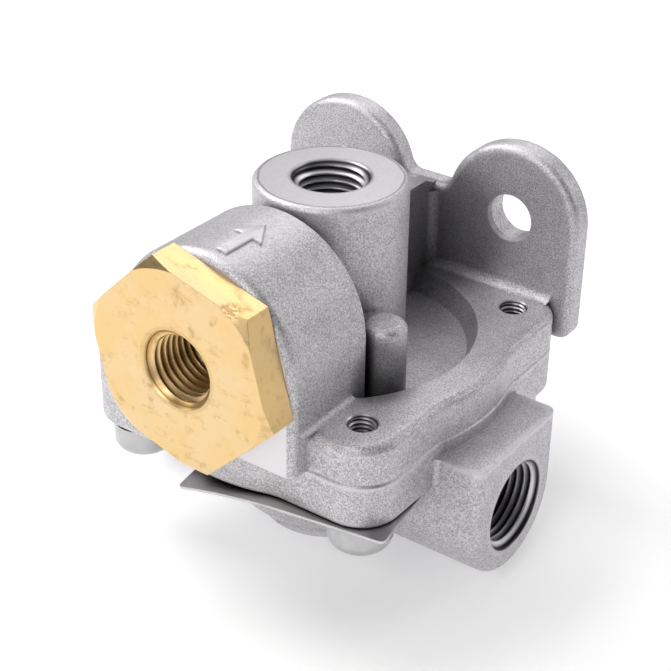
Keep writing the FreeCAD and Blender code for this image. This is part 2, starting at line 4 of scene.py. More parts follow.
import bmesh
import bpy
from mathutils import Matrix, Vector


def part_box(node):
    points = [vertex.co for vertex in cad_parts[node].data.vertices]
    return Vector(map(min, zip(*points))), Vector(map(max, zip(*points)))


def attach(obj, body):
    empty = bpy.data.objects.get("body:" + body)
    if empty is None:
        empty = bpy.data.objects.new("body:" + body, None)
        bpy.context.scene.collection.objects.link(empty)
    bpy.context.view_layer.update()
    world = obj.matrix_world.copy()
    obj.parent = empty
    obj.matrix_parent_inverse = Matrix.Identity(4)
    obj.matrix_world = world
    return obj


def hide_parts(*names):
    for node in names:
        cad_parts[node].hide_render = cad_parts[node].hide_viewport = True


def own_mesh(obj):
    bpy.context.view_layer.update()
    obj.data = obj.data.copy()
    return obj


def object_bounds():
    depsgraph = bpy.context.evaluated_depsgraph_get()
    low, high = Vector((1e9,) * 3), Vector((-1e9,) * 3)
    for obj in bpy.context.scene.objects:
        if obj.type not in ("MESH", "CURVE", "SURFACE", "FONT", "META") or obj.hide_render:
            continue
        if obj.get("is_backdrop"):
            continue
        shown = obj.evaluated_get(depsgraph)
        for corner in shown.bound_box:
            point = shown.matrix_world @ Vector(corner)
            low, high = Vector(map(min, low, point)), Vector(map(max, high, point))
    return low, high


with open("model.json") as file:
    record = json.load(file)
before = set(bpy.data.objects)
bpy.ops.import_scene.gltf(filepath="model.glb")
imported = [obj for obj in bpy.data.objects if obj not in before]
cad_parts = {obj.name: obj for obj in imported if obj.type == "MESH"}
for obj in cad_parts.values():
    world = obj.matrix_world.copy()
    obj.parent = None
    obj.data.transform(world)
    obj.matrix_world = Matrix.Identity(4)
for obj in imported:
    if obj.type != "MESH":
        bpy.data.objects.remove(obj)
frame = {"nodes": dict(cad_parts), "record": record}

bl_info = {
    "name": "Quick exhaust valve looks",
    "version": (1, 0, 0),
    "blender": (4, 5, 0),
    "location": "View3D > Sidebar > Valve",
    "description": "Cast, brass and plated finishes, port threads and the studio for a quick exhaust valve",
    "category": "Object",
}

MM = 0.001
X_AXIS = Vector((1, 0, 0))
Z_AXIS = Vector((0, 0, 1))
MOUNTS = {mount["name"]: mount for mount in frame["record"]["mounts"]}
SUPPLY_Z = MOUNTS["supply_port"]["pos_m"][2]
TOWER_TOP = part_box("upper_body")[1].z
PARTING_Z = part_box("lower_body")[1].z
FIXED_BODY = "valve"
# How near to a flat face a point counts as on it
PLANE_TOLERANCE = 0.05 * MM

# Node and material slot whose finish the ridges of each port share
PORTS = {
    "supply_port": ("supply_cap_nut", "brass"),
    "balance_port": ("upper_body", "cast_alloy"),
    "delivery_port_right": ("lower_body", "cast_alloy"),
    "delivery_port_left": ("lower_body", "cast_alloy"),
}
# Taper of a pipe thread on its radius
PIPE_TAPER = 1 / 32
LUG_CORNERS = ((-1, -1), (1, -1), (-1, 1), (1, 1))

# Name, place, width, height and power of each soft light, in metres and watts
SOFTBOXES = (
    ("key_softbox", (0.08, -0.50, 0.36), 0.28, 0.28, 1.36),
    ("left_softbox", (-0.45, -0.15, 0.35), 0.30, 0.30, 0.70),
    ("left_high_softbox", (-0.33, -0.05, 0.48), 0.30, 0.30, 1.50),
    ("top_softbox", (-0.02, 0.02, 0.52), 0.40, 0.40, 0.42),
    ("back_softbox", (-0.11, 0.36, 0.42), 0.40, 0.25, 0.72),
    ("right_back_softbox", (0.35, 0.38, 0.30), 0.30, 0.30, 0.66),
)
LIT_POINT = Vector((0, 0, 30 * MM))
WORLD_STRENGTH = 0.05
WHITE = (1, 1, 1, 1)
# The camera's sensor in millimetres, and what it sees, in metres
SENSOR_WIDTH = 36
NEAREST = 0.01
FARTHEST = 20
FLOOR_REACH = 3


# Settings that a user would change

class CastingSettings(bpy.types.PropertyGroup):
    colour: bpy.props.FloatVectorProperty(
        name="Casting colour", description="Bare die cast alloy", subtype="COLOR", size=3,
        min=0, max=1, default=(0.74, 0.72, 0.75))
    dark_colour: bpy.props.FloatVectorProperty(
        name="Recess colour", description="Alloy in the pits and corners", subtype="COLOR", size=3,
        min=0, max=1, default=(0.36, 0.35, 0.365))
    # Painted shade: corners, holes and the patches by the column and the web are darkened towards this colour
    painted_shade_colour: bpy.props.FloatVectorProperty(
        name="Shade colour", description="Alloy deep in seams, corners and holes", subtype="COLOR", size=3,
        min=0, max=1, default=(0.11, 0.105, 0.11))
    # Painted shade at the bottom of the threads
    thread_shade_colour: bpy.props.FloatVectorProperty(
        name="Thread root colour", description="Alloy at the bottom of the threads", subtype="COLOR", size=3,
        min=0, max=1, default=(0.05, 0.045, 0.05))
    # Also the colour that edges are painted bright with: part wear, part painted highlight
    machined_colour: bpy.props.FloatVectorProperty(
        name="Machined colour", description="Freshly cut faces and worn edges", subtype="COLOR", size=3,
        min=0, max=1, default=(0.70, 0.685, 0.71))
    grain_size: bpy.props.FloatProperty(
        name="Grain size", description="Width of one sand grain", subtype="DISTANCE", unit="LENGTH",
        default=0.31 * MM)
    grain_depth: bpy.props.FloatProperty(
        name="Grain depth", description="Height of the sand texture", subtype="DISTANCE", unit="LENGTH",
        default=0.09 * MM)
    cloud_size: bpy.props.FloatProperty(
        name="Cloud size", description="Width of the faint changes of tone", subtype="DISTANCE",
        unit="LENGTH", default=12.0 * MM)
    # How far the painted shade in corners reaches
    corner_shade_reach: bpy.props.FloatProperty(
        name="Corner reach", description="How far from a corner the casting still looks darker",
        subtype="DISTANCE", unit="LENGTH", default=9.0 * MM)
    edge_rounding: bpy.props.FloatProperty(
        name="Edge rounding", description="Radius that light catches on sharp edges", subtype="DISTANCE",
        unit="LENGTH", default=0.25 * MM)
    tool_line_size: bpy.props.FloatProperty(
        name="Tool line size", description="Spacing of the tool's lines on cut faces", subtype="DISTANCE",
        unit="LENGTH", default=0.12 * MM)
    tower_face_radius: bpy.props.FloatProperty(
        name="Tower face radius", description="Where the cut top of the tower meets its rounded edge",
        subtype="DISTANCE", unit="LENGTH", default=12.8 * MM)
    # Painted shade: a darker patch round this point, between the column and the boss, reaching as far as the
    # column shade
    column_foot: bpy.props.FloatVectorProperty(
        name="Column foot", description="Middle of the dull patch between the column and the boss",
        subtype="TRANSLATION", unit="LENGTH", size=3, default=(20.0 * MM, -13.0 * MM, 42.0 * MM))
    column_shade: bpy.props.FloatProperty(
        name="Column shade", description="Reach of the dull patch by the column", subtype="DISTANCE",
        unit="LENGTH", default=8.5 * MM)
    # Painted shade: a darker patch round this point, between the web and the bracket, reaching as far as the
    # web shade
    web_corner: bpy.props.FloatVectorProperty(
        name="Web corner", description="Middle of the dull patch between the web and the bracket",
        subtype="TRANSLATION", unit="LENGTH", size=3, default=(5.0 * MM, 30.0 * MM, 49.0 * MM))
    web_shade: bpy.props.FloatProperty(
        name="Web shade", description="Reach of the dull patch by the web", subtype="DISTANCE",
        unit="LENGTH", default=18.0 * MM)


class BrassSettings(bpy.types.PropertyGroup):
    colour: bpy.props.FloatVectorProperty(
        name="Brass colour", description="Cut brass", subtype="COLOR", size=3,
        min=0, max=1, default=(0.76, 0.535, 0.25))
    # Used for stains and for the painted shade on the flat that faces +X
    stain_colour: bpy.props.FloatVectorProperty(
        name="Stain colour", description="Handled, slightly dull brass", subtype="COLOR", size=3,
        min=0, max=1, default=(0.50, 0.32, 0.13))
    bloom_colour: bpy.props.FloatVectorProperty(
        name="Bloom colour", description="Paler, pinker brass in broad clouds", subtype="COLOR", size=3,
        min=0, max=1, default=(0.80, 0.60, 0.34))
    # Painted shade in the port's threads
    painted_shade_colour: bpy.props.FloatVectorProperty(
        name="Shade colour", description="Brass deep in the port", subtype="COLOR", size=3,
        min=0, max=1, default=(0.40, 0.22, 0.06))
    scuff_place: bpy.props.FloatVectorProperty(
        name="Scuff place", description="A knock on the upper flat, by the corner", subtype="TRANSLATION",
        unit="LENGTH", size=3, default=(11.4 * MM, -41.2 * MM, 64.5 * MM))


class SteelSettings(bpy.types.PropertyGroup):
    zinc_colour: bpy.props.FloatVectorProperty(
        name="Zinc colour", description="Bright zinc plate on screws and washers", subtype="COLOR", size=3,
        min=0, max=1, default=(0.50, 0.50, 0.505))
    tag_colour: bpy.props.FloatVectorProperty(
        name="Tag colour", description="Plain sheet steel", subtype="COLOR", size=3,
        min=0, max=1, default=(0.62, 0.61, 0.62))
    spring_colour: bpy.props.FloatVectorProperty(
        name="Spring colour", description="Drawn steel wire", subtype="COLOR", size=3,
        min=0, max=1, default=(0.55, 0.55, 0.56))
    mark_depth: bpy.props.FloatProperty(
        name="Mark depth", description="Depth of the fine marks in plated, brushed and drawn steel",
        subtype="DISTANCE", unit="LENGTH", default=0.006 * MM)


class InnerSettings(bpy.types.PropertyGroup):
    rubber_colour: bpy.props.FloatVectorProperty(
        name="Rubber colour", description="Moulded nitrile rubber", subtype="COLOR", size=3,
        min=0, max=1, default=(0.018, 0.018, 0.019))
    rubber_bloom: bpy.props.FloatVectorProperty(
        name="Rubber bloom", description="Paler grain of the rubber's skin", subtype="COLOR", size=3,
        min=0, max=1, default=(0.045, 0.045, 0.046))
    acetal_colour: bpy.props.FloatVectorProperty(
        name="Acetal colour", description="Moulded shuttle guide", subtype="COLOR", size=3,
        min=0, max=1, default=(0.80, 0.79, 0.74))
    acetal_cloud: bpy.props.FloatVectorProperty(
        name="Acetal cloud", description="Duller grain of the shuttle guide", subtype="COLOR", size=3,
        min=0, max=1, default=(0.72, 0.71, 0.66))
    alloy_colour: bpy.props.FloatVectorProperty(
        name="Alloy colour", description="Turned shuttle", subtype="COLOR", size=3,
        min=0, max=1, default=(0.78, 0.78, 0.79))
    alloy_cloud: bpy.props.FloatVectorProperty(
        name="Alloy cloud", description="Duller patches of the shuttle", subtype="COLOR", size=3,
        min=0, max=1, default=(0.66, 0.66, 0.68))


class ThreadSettings(bpy.types.PropertyGroup):
    pipe_pitch: bpy.props.FloatProperty(
        name="Pipe thread pitch", description="One turn of an 18 per inch taper pipe thread",
        subtype="DISTANCE", unit="LENGTH", default=25.4 * MM / 18)
    pipe_height: bpy.props.FloatProperty(
        name="Pipe thread height", description="From the root to the crest", subtype="DISTANCE",
        unit="LENGTH", default=1.05 * MM)
    screw_pitch: bpy.props.FloatProperty(
        name="Screw thread pitch", description="One turn of the thread in the tapped lugs",
        subtype="DISTANCE", unit="LENGTH", default=0.8 * MM)
    screw_height: bpy.props.FloatProperty(
        name="Screw thread height", description="From the root to the crest", subtype="DISTANCE",
        unit="LENGTH", default=0.45 * MM)
    screw_radius: bpy.props.FloatProperty(
        name="Tapped hole radius", description="To the root of the thread in the lugs", subtype="DISTANCE",
        unit="LENGTH", default=2.5 * MM)
    screw_spacing: bpy.props.FloatProperty(
        name="Screw spacing", description="Between the screws along one side", subtype="DISTANCE",
        unit="LENGTH", default=49.2 * MM)
    lug_top: bpy.props.FloatProperty(
        name="Lug top", description="Height of the tapped lugs' top faces", subtype="DISTANCE",
        unit="LENGTH", default=40.0 * MM)


class MarkSettings(bpy.types.PropertyGroup):
    length: bpy.props.FloatProperty(
        name="Arrow length", description="Raised flow arrow on the supply boss", subtype="DISTANCE",
        unit="LENGTH", default=11.5 * MM)
    width: bpy.props.FloatProperty(
        name="Arrow width", description="Across the arrow's head", subtype="DISTANCE",
        unit="LENGTH", default=6.0 * MM)
    height: bpy.props.FloatProperty(
        name="Arrow height", description="How far the arrow stands up", subtype="DISTANCE",
        unit="LENGTH", default=0.5 * MM)
    turn: bpy.props.FloatProperty(
        name="Arrow turn", description="Angle round the boss from its top", subtype="ANGLE",
        unit="ROTATION", default=math.radians(8))
    middle_y: bpy.props.FloatProperty(
        name="Arrow place", description="Middle of the arrow along the boss", subtype="DISTANCE",
        unit="LENGTH", default=-27.6 * MM)
    boss_radius: bpy.props.FloatProperty(
        name="Boss radius", description="Round top of the supply boss", subtype="DISTANCE",
        unit="LENGTH", default=18.8 * MM)


class StudioSettings(bpy.types.PropertyGroup):
    focal_length: bpy.props.FloatProperty(
        name="Focal length", description="Lens in millimetres on a 36 mm sensor", default=83.05)
    azimuth: bpy.props.FloatProperty(
        name="Azimuth", description="Camera's turn from the supply side", subtype="ANGLE",
        unit="ROTATION", default=math.radians(35.46))
    elevation: bpy.props.FloatProperty(
        name="Elevation", description="Camera's height above the horizon", subtype="ANGLE",
        unit="ROTATION", default=math.radians(30.18))
    roll: bpy.props.FloatProperty(
        name="Roll", description="Camera's tilt", subtype="ANGLE", unit="ROTATION",
        default=math.radians(0.74))
    distance: bpy.props.FloatProperty(
        name="Distance", description="Camera to its target", subtype="DISTANCE",
        unit="LENGTH", default=280.6 * MM)
    target: bpy.props.FloatVectorProperty(
        name="Target", description="The point in the middle of the picture", subtype="TRANSLATION",
        unit="LENGTH", size=3, default=(3.89 * MM, -3.55 * MM, 39.69 * MM))
    floor_colour: bpy.props.FloatVectorProperty(
        name="Floor colour", description="Pale studio sweep", subtype="COLOR", size=3,
        min=0, max=1, default=(0.92, 0.92, 0.92))
    floor_glow: bpy.props.FloatProperty(
        name="Floor glow", description="Light that comes up through the table", default=0.29, min=0)
    glow_start: bpy.props.FloatProperty(
        name="Glow start", description="Distance from which the floor glows more", subtype="DISTANCE",
        unit="LENGTH", default=0.35)
    glow_full: bpy.props.FloatProperty(
        name="Glow full", description="Distance from which the floor is as pale as the backdrop",
        subtype="DISTANCE", unit="LENGTH", default=1.1)


GROUPS = {
    "valve_casting": CastingSettings,
    "valve_brass": BrassSettings,
    "valve_steel": SteelSettings,
    "valve_inner": InnerSettings,
    "valve_threads": ThreadSettings,
    "valve_mark": MarkSettings,
    "valve_studio": StudioSettings,
}


# Shader building

class Wire:
    """One output socket of a finish, used like a number in sums."""

    def __init__(self, finish, socket):
        self.finish = finish
        self.socket = socket

    def sum_node(self, operation, first, second=0.0):
        return self.finish.node("ShaderNodeMath", {"operation": operation}, {0: first, 1: second})

    def __add__(self, other):
        return self.sum_node("ADD", self, other)

    __radd__ = __add__

    def __sub__(self, other):
        return self.sum_node("SUBTRACT", self, other)

    def __rsub__(self, other):
        return self.sum_node("SUBTRACT", other, self)

    def __mul__(self, other):
        return self.sum_node("MULTIPLY", self, other)

    __rmul__ = __mul__

    def __abs__(self):
        return self.sum_node("ABSOLUTE", self)

    def __lt__(self, other):
        return self.sum_node("LESS_THAN", self, other)

    def __gt__(self, other):
        return self.sum_node("GREATER_THAN", self, other)

    def ramp(self, low, high):
        """0 at low, 1 at high, smooth between."""
        return self.finish.node(
            "ShaderNodeMapRange", {"interpolation_type": "SMOOTHSTEP"},
            {"Value": self, "From Min": low, "From Max": high, "To Min": 0.0, "To Max": 1.0})


class Finish:
    """The nodes of a new material or world. Every node comes from node(), and surface() closes a material."""

    def __init__(self, holder):
        self.holder = holder
        self.holder.use_nodes = True
        self.tree = self.holder.node_tree
        self.tree.nodes.clear()

    def node(self, kind, options=None, sockets=None, output=0):
        """A node of this kind with its options set and its sockets given values or links."""
        made = self.tree.nodes.new(kind)
        for name, value in (options or {}).items():
            setattr(made, name, value)
        for name, value in (sockets or {}).items():
            if isinstance(value, Wire):
                self.tree.links.new(value.socket, made.inputs[name])
            else:
                made.inputs[name].default_value = value
        return Wire(self, made.outputs[output]) if made.outputs else None

    def place(self):
        """The point on the piece, in the piece's own frame."""
        return self.node("ShaderNodeTexCoord", output="Object")

    def split(self, vector):
        """The three parts of a vector."""
        parts = self.node("ShaderNodeSeparateXYZ", sockets={0: vector})
        outputs = parts.socket.node.outputs
        return [Wire(self, outputs[i]) for i in range(3)]

    def facing(self):
        """The surface's outward direction, as three numbers."""
        return self.split(self.node("ShaderNodeNewGeometry", output="Normal"))

    def reach(self, *lengths):
        """The length of a vector whose parts are given."""
        vector = self.node("ShaderNodeCombineXYZ", sockets=dict(enumerate(lengths)))
        return self.node("ShaderNodeVectorMath", {"operation": "LENGTH"}, {0: vector}, "Value")

    def noise(self, size, detail=3.0, roughness=0.55, stretch=(1, 1, 1), shift=0.0):
        """Soft random values round 0.5, with grains about as wide as size."""
        placing = {"Vector": self.place(), "Scale": stretch, "Location": (shift, shift, shift)}
        where = self.node("ShaderNodeMapping", sockets=placing)
        sockets = {"Vector": where, "Scale": 1 / size, "Detail": detail, "Roughness": roughness}
        return self.node("ShaderNodeTexNoise", sockets=sockets)

    def cells(self, size):
        """Distance to the nearest of many scattered points, in units of size."""
        return self.node(
            "ShaderNodeTexVoronoi", sockets={"Vector": self.place(), "Scale": 1 / size}, output="Distance")

    def blend(self, share, first, second):
        """A colour between first and second."""
        sockets = {0: share, 6: self.colour(first), 7: self.colour(second)}
        return self.node("ShaderNodeMix", {"data_type": "RGBA"}, sockets, 2)

    def colour(self, value):
        """A colour with its alpha, or the wire that brings one."""
        return value if isinstance(value, Wire) else (*value[:3], 1.0)

    def soft_edges(self, radius):
        """The surface's direction, rounded over edges."""
        return self.node("ShaderNodeBevel", {"samples": 4}, {"Radius": radius})

    def edges(self, width):
        """Towards 1 on outer edges and their rounding, where the metal within width of the point is thin."""
        options = {"samples": 16, "only_local": True, "inside": True}
        return 1 - self.node("ShaderNodeAmbientOcclusion", options, {"Distance": width}, "AO")

    def openness(self, distance, alone=True):
        """1 on open faces, towards 0 in corners and holes: the piece's own, or also those between pieces."""
        options = {"samples": 8, "only_local": alone}
        return self.node("ShaderNodeAmbientOcclusion", options, {"Distance": distance}, "AO")

    def thread_root_shade(self, from_axis, wall, height):
        """How much painted shade an inner thread gets: 1 at its root, 0 on its crest, and between on the
        mouth's countersink.
        """
        root = (from_axis - (wall - height)).ramp(0.30 * height, 0.95 * height)
        mouth = (from_axis - wall).ramp(0.05 * height, 0.30 * height)
        return root * (1 - 0.75 * mouth)

    def bump(self, height, depth, normal=None):
        """The surface's direction on a relief whose height is a share of depth."""
        sockets = {"Height": height, "Distance": depth, "Strength": 1.0}
        if normal is not None:
            sockets["Normal"] = normal
        return self.node("ShaderNodeBump", sockets=sockets)

    def surface(self, **sockets):
        """Closes the material with one Principled shader. Underscores stand for spaces in socket names."""
        named = {name.replace("_", " "): value for name, value in sockets.items()}
        shader = self.node("ShaderNodeBsdfPrincipled", sockets=named)
        self.node("ShaderNodeOutputMaterial", sockets={"Surface": shader})
        return self.holder


def new_finish(name):
    return Finish(bpy.data.materials.new(name))


def either(*masks):
    """Near 1 where any of the masks is."""
    missed = 1 - masks[0]
    for mask in masks[1:]:
        missed = missed * (1 - mask)
    return 1 - missed


def darker(colour, share):
    return tuple(share * part for part in colour)


def settings(name):
    """The values that the user has set in one of the groups."""
    return getattr(bpy.context.scene, name)


# Pieces

def dress(node_name, material):
    """Gives a CAD node its finish."""
    node = frame["nodes"][node_name]
    node.data.materials.clear()
    node.data.materials.append(material)


def finish_of(node_name):
    """The material that a CAD node wears."""
    return frame["nodes"][node_name].data.materials[0]


def built_mesh(name, builder):
    """A mesh from a mesh builder, which is used up."""
    mesh = bpy.data.meshes.new(name)
    builder.to_mesh(mesh)
    builder.free()
    return mesh


def add_object(name, data):
    """A new object in the scene."""
    made = bpy.data.objects.new(name, data)
    bpy.context.scene.collection.objects.link(made)
    return made


def add_piece(name, mesh, material):
    """A new piece of the valve that rides on its fixed body."""
    mesh.materials.clear()
    mesh.materials.append(material)
    piece = add_object(name, mesh)
    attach(piece, FIXED_BODY)
    return piece


def add_shortening_spring(name, node_name, joint_name, material):
    """The coil in place of its rigid node, as a new piece on the fixed body. The joint's travel is read, but
    nothing makes the piece shorten with it.
    """
    foot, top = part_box(node_name)
    joints = {joint["name"]: joint for joint in frame["record"]["behaviour"]["joints"]}
    travel = max(abs(limit) for limit in joints[joint_name]["range_m"])
    piece = add_piece(name, frame["nodes"][node_name].data.copy(), material)
    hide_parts(node_name)
    1 - travel / (top.z - foot.z)
    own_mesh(piece)


# Finishes

def cast_finish(name, machined, rounding):
    """Sand-textured alloy, with painted shade in corners and holes. machined(finish) gives four masks: cut
    faces, painted shade at the threads' root, patches of painted shade with a thin dark line round the
    tower's cut face, and a rim rubbed bright. rounding is the width of metal that an edge is looked for in,
    and the two limits of how thin it counts; edges found so are painted bright, part wear and part painted
    highlight."""
    s = settings("valve_casting")
    f = new_finish(name)
    grain = f.noise(s.grain_size, detail=2.0)
    fine = f.noise(s.grain_size * 0.5, detail=1.0, shift=0.2)
    lumps = f.noise(s.grain_size * 6, detail=2.0, shift=0.3)
    cloud = f.noise(s.cloud_size, detail=3.0, shift=0.7)
    pits = f.cells(s.grain_size * 9).ramp(0.0, 0.10)
    cut, root_shade, shade_patches_and_lip, rim = machined(f)
    open_share = f.openness(s.corner_shade_reach)
    width, low, high = rounding
    # Edges painted bright: part wear, part painted highlight along edges and the middle of their rounding
    line = f.edges(width).ramp(low, high) * open_share.ramp(0.60, 0.90) * lumps.ramp(0.25, 0.50)
    tone = (grain * 0.44 + fine * 0.40 + lumps * 0.08 + cloud * 0.08).ramp(0.40, 0.59)
    highlit_and_worn = either(0.9 * line, rim * (0.25 + 0.70 * tone))
    rough_colour = f.blend(tone * pits, s.dark_colour, s.colour)
    bare = f.blend(either(cut, highlit_and_worn), rough_colour, s.machined_colour)
    base = f.blend(root_shade, bare, s.thread_shade_colour)
    height = grain * 0.6 + fine * 0.25 + lumps * 0.6 + pits * 0.25
    tool_lines = f.noise(s.tool_line_size, detail=1.0, stretch=(1, 1, 0.05))
    relief = height * (1 - cut) + tool_lines * cut * 0.08
    normal = f.bump(relief, s.grain_depth, f.soft_edges(s.edge_rounding))
    # Painted shade: the colour goes towards the shade colour in corners and holes, and more in the patches by
    # the column and the web
    outside_patches_and_lip = 1 - 0.6 * shade_patches_and_lip
    return f.surface(
        Base_Color=f.blend(outside_patches_and_lip * open_share.ramp(0.05, 0.58), s.painted_shade_colour, base),
        Metallic=0.8,
        Roughness=(1 - cut) * (0.47 + 0.12 * cloud) + cut * (0.30 + 0.1 * cloud),
        Normal=normal)


def upper_machined(f):
    """The tower's top, the nut's seat, the port walls, the tapped holes and the parting face."""
    s = settings("valve_casting")
    threads = settings("valve_threads")
    face_radius = s.tower_face_radius
    top_tolerance = 0.02 * MM
    seat_tolerance = 0.1 * MM
    rim_foot, rim_head = TOWER_TOP - 2.6 * MM, TOWER_TOP - 1.0 * MM
    mouth_cut = 0.8 * MM
    boss_bore_radius = 14.9 * MM
    boss_bore_end = -15 * MM
    tapped_cut = 0.35 * MM
    lip_drop = 0.3 * MM
    lip_core, lip_reach = 0.08 * MM, 0.28 * MM
    bracket_back = 4 * MM
    wall = MOUNTS["balance_port"]["dims"]["r_mm"] * MM
    half = threads.screw_spacing / 2
    x, y, z = f.split(f.place())
    from_tower = f.reach(x, y)
    from_supply = f.reach(x, z - SUPPLY_Z)
    from_screw = f.reach(abs(x) - half, abs(y) - half)
    wander = (f.noise(3 * MM, shift=0.9) - 0.5) * 0.5 * MM
    top = (z > TOWER_TOP - top_tolerance) * (from_tower + wander < face_radius)
    rim = (z + wander).ramp(rim_foot, rim_head) * (from_tower > face_radius)
    port = (from_tower < wall + mouth_cut) * (z > SUPPLY_Z)
    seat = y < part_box("upper_body")[0].y + seat_tolerance
    bored = (from_supply < boss_bore_radius) * (y < boss_bore_end)
    under = z < PARTING_Z + PLANE_TOLERANCE
    tapped = from_screw < threads.screw_radius + tapped_cut
    cut = either(0.8 * top, port, seat, bored, under, tapped)
    from_lip = abs(from_tower + wander - face_radius)
    lip = (z > TOWER_TOP - lip_drop) * (1 - from_lip.ramp(lip_core, lip_reach))
    # Painted shade in the threads of the balance port and the tapped holes
    root_shade = (port * f.thread_root_shade(from_tower, wall, threads.pipe_height)
             + tapped * f.thread_root_shade(from_screw, threads.screw_radius, threads.screw_height))
    # Painted shade in patches by the column and the web, and a thin dark line round the tower's cut face
    clear_of_patches_and_lip = 1 - 0.8 * lip
    for place, radius in ((s.column_foot, s.column_shade), (s.web_corner, s.web_shade)):
        distance = f.reach(x - place[0], y - place[1], z - place[2])
        clear_of_patches_and_lip = clear_of_patches_and_lip * distance.ramp(0.5 * radius, radius)
    before_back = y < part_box("upper_body")[1].y - bracket_back
    return cut, root_shade, (1 - clear_of_patches_and_lip) * before_back, rim


def lower_machined(f):
    """The delivery mouths, their end faces, the exhaust bore and the parting face."""
    mouth_cut = 0.7 * MM
    port_start = 20 * MM
    exhaust_cut = 0.5 * MM
    exhaust_top = 27 * MM
    mouth = MOUNTS["delivery_port_right"]
    wall = mouth["dims"]["r_mm"] * MM
    exhaust_wall = MOUNTS["exhaust_port"]["dims"]["r_mm"] * MM
    x, y, z = f.split(f.place())
    from_delivery = f.reach(y, z - mouth["pos_m"][2])
    port = (from_delivery < wall + mouth_cut) * (abs(x) > port_start)
    under = z > PARTING_Z - PLANE_TOLERANCE
    exhaust = (f.reach(x, y) < exhaust_wall + exhaust_cut) * (z < exhaust_top)
    foot = z < PLANE_TOLERANCE
    # Painted shade in the threads of the delivery ports
    root_shade = port * f.thread_root_shade(from_delivery, wall, settings("valve_threads").pipe_height)
    return either(port, under, exhaust, foot), root_shade, 0.0, 0.0


def brass_finish(name):
    """Turned and milled brass with faint tool marks, smudges, small nicks and one scuffed corner,
    with painted shade in the port's threads and on the flat that faces +X.
    """
    s = settings("valve_brass")
    ring_pitch = 0.5 * MM
    ring_wander = 0.4 * MM
    face_tolerance = 0.1 * MM
    mouth_share = 1.15
    scuff_core, scuff_reach = 0.8 * MM, 2.4 * MM
    mark_depth = 0.012 * MM
    edge_rounding = 0.18 * MM
    f = new_finish(name)
    x, y, z = f.split(f.place())
    radius = f.reach(x, z - SUPPLY_Z)
    warp = f.noise(6 * MM, detail=2.0)
    turned = (radius + warp * ring_wander) * (2 * math.pi / ring_pitch)
    rings = f.node("ShaderNodeMath", {"operation": "SINE"}, {0: turned})
    on_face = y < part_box("supply_cap_nut")[0].y + face_tolerance
    bloom = f.noise(9 * MM, detail=3.0, roughness=0.6, shift=0.1).ramp(0.35, 0.7)
    smudge = f.noise(3.5 * MM, detail=5.0, roughness=0.7, shift=0.4).ramp(0.52, 0.72)
    smear = f.noise(1.6 * MM, detail=4.0, roughness=0.7, stretch=(0.35, 1, 1), shift=0.8).ramp(0.56, 0.70)
    speck = 1 - f.cells(2.4 * MM).ramp(0.03, 0.13)
    fine = f.noise(0.25 * MM, detail=2.0)
    place = s.scuff_place
    from_scuff = f.reach(x - place[0], y - place[1], z - place[2])
    scratched = f.noise(0.7 * MM, detail=3.0, roughness=0.7).ramp(0.42, 0.60)
    scuff = (1 - from_scuff.ramp(scuff_core, scuff_reach)) * scratched
    wall = MOUNTS["supply_port"]["dims"]["r_mm"] * MM
    in_port = radius < wall * mouth_share
    # Painted shade in the threads of the supply port
    root_shade = in_port * f.thread_root_shade(radius, wall, settings("valve_threads").pipe_height)
    # Painted shade: the flat that faces +X is a quarter darker
    right_flat_shade = 0.25 * (f.facing()[0] > 0.8)
    marks = either(0.45 * smear, 0.5 * speck * smudge, 0.75 * scuff)
    stain_and_shade = either(0.60 * smudge, right_flat_shade, marks)
    cut_colour = f.blend(bloom, s.colour, s.bloom_colour)
    shaded = f.blend(stain_and_shade, cut_colour, s.stain_colour)
    relief = rings * on_face * 0.10 + fine * 0.35 - speck * 0.6 - smear * 0.3 - scuff * 3.0
    return f.surface(
        Base_Color=f.blend(0.8 * root_shade, shaded, s.painted_shade_colour),
        Metallic=1.0,
        Roughness=0.27 + 0.16 * smudge + 0.08 * fine + 0.12 * bloom,
        Normal=f.bump(relief, mark_depth, f.soft_edges(edge_rounding)))


def zinc_finish(name):
    """Bright plated screws and washers, with painted shade in the seams between them and near other pieces.
    """
    s = settings("valve_steel")
    shade_reach_by_seams = 2.5 * MM
    f = new_finish(name)
    cloud = f.noise(2.2 * MM, detail=3.0)
    fine = f.noise(0.2 * MM, detail=2.0)
    plated = f.blend(cloud.ramp(0.35, 0.7), s.zinc_colour, darker(s.zinc_colour, 0.90))
    # Painted shade where other pieces are near
    seam_shade = f.openness(shade_reach_by_seams, alone=False).ramp(0.25, 0.85)
    return f.surface(
        Base_Color=f.blend(seam_shade, darker(s.zinc_colour, 0.08), plated),
        Metallic=1.0,
        Roughness=0.13 + 0.10 * cloud,
        Normal=f.bump(fine, s.mark_depth, f.soft_edges(radius=0.15 * MM)))


def sheet_finish(name):
    """Brushed sheet, with painted shade where it is tucked under the flange, and bright on its sheared edges.
    """
    s = settings("valve_steel")
    tucked_shade_reach = 6 * MM
    f = new_finish(name)
    grain = f.noise(0.16 * MM, detail=2.0, stretch=(0.05, 1, 1))
    cloud = f.noise(5 * MM, detail=3.0)
    bare = f.blend(cloud.ramp(0.3, 0.75), s.tag_colour, darker(s.tag_colour, 0.8))
    sheared = abs(f.facing()[2]) < 0.7
    # Painted shade near the flange and other pieces, left off the sheared edges
    clear = either(f.openness(tucked_shade_reach, alone=False).ramp(0.20, 0.65), sheared)
    return f.surface(
        Base_Color=f.blend(clear, darker(s.tag_colour, 0.06), bare),
        Metallic=1.0,
        Roughness=0.26 + 0.12 * cloud,
        Normal=f.bump(grain, s.mark_depth, f.soft_edges(radius=0.1 * MM)))


